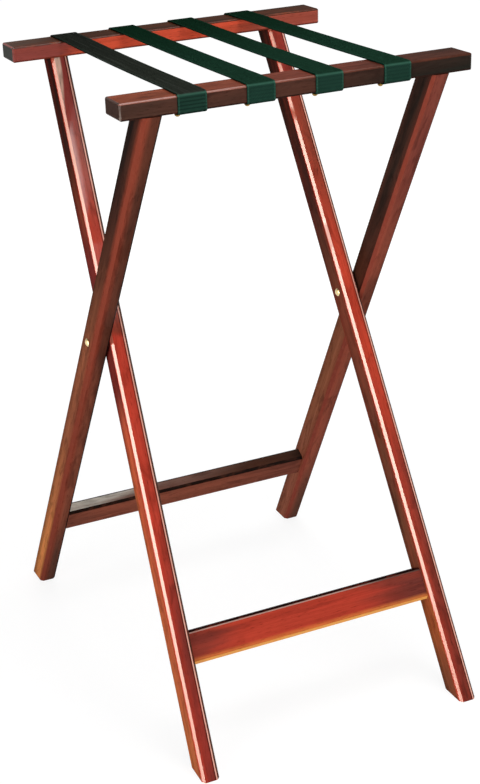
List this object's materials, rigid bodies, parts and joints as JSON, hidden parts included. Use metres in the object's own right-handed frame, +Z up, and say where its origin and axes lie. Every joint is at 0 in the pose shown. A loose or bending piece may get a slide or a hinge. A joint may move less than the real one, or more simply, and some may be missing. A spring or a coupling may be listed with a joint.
{
  "type": "folding tray stand",
  "caption": "Folding wooden tray stand: crossed frames turn on brass pivots and open until the webbing straps between the top rails pull taut to carry a tray.",
  "frame": {"origin": "on the floor, midway between the feet and under the pivot line", "axes": "+X along the rails to the right, +Y to the back, +Z up"},
  "size_m": [0.4204, 0.56, 0.7889],
  "materials": {
    "front_rail_wood": "red mahogany stain under gloss varnish",
    "back_rail_wood": "red mahogany stain under gloss varnish",
    "outer_leg_left_wood": "red mahogany stain under gloss varnish",
    "outer_leg_right_wood": "red mahogany stain under gloss varnish",
    "inner_leg_left_wood": "red mahogany stain under gloss varnish",
    "inner_leg_right_wood": "red mahogany stain under gloss varnish",
    "rear_stretcher_wood": "red mahogany stain under gloss varnish",
    "front_stretcher_wood": "red mahogany stain under gloss varnish",
    "dowel_wood": "bare beech",
    "brass": "polished",
    "tack_brass": "aged",
    "steel": "zinc plated",
    "webbing": "woven webbing, dark green"
  },
  "bodies": {
    "outer_frame": {"front_rail": "front_rail_wood", "outer_leg_left": "outer_leg_left_wood", "outer_leg_right": "outer_leg_right_wood", "rear_stretcher": "rear_stretcher_wood", "front_rail_dowels": "dowel_wood", "rear_stretcher_dowels": "dowel_wood", "pivot_post_left": "brass", "pivot_post_right": "brass", "pivot_screw_left": "brass", "pivot_screw_right": "brass", "pivot_washer_left": "steel", "pivot_washer_right": "steel", "strap_1": "webbing", "strap_2": "webbing", "strap_3": "webbing", "strap_4": "webbing", "front_rail_tacks": "tack_brass"},
    "inner_frame": {"back_rail": "back_rail_wood", "inner_leg_left": "inner_leg_left_wood", "inner_leg_right": "inner_leg_right_wood", "front_stretcher": "front_stretcher_wood", "back_rail_dowels": "dowel_wood", "front_stretcher_dowels": "dowel_wood", "back_rail_tacks": "tack_brass"}
  },
  "joints": [
    {"name": "fold", "type": "hinge", "parent": "outer_frame", "child": "inner_frame", "pos_m": [0, 0, 0.45712], "axis": [1, 0, 0], "range_deg": [0, 48], "deforming": ["strap_1", "strap_2", "strap_3", "strap_4"]}
  ]
}
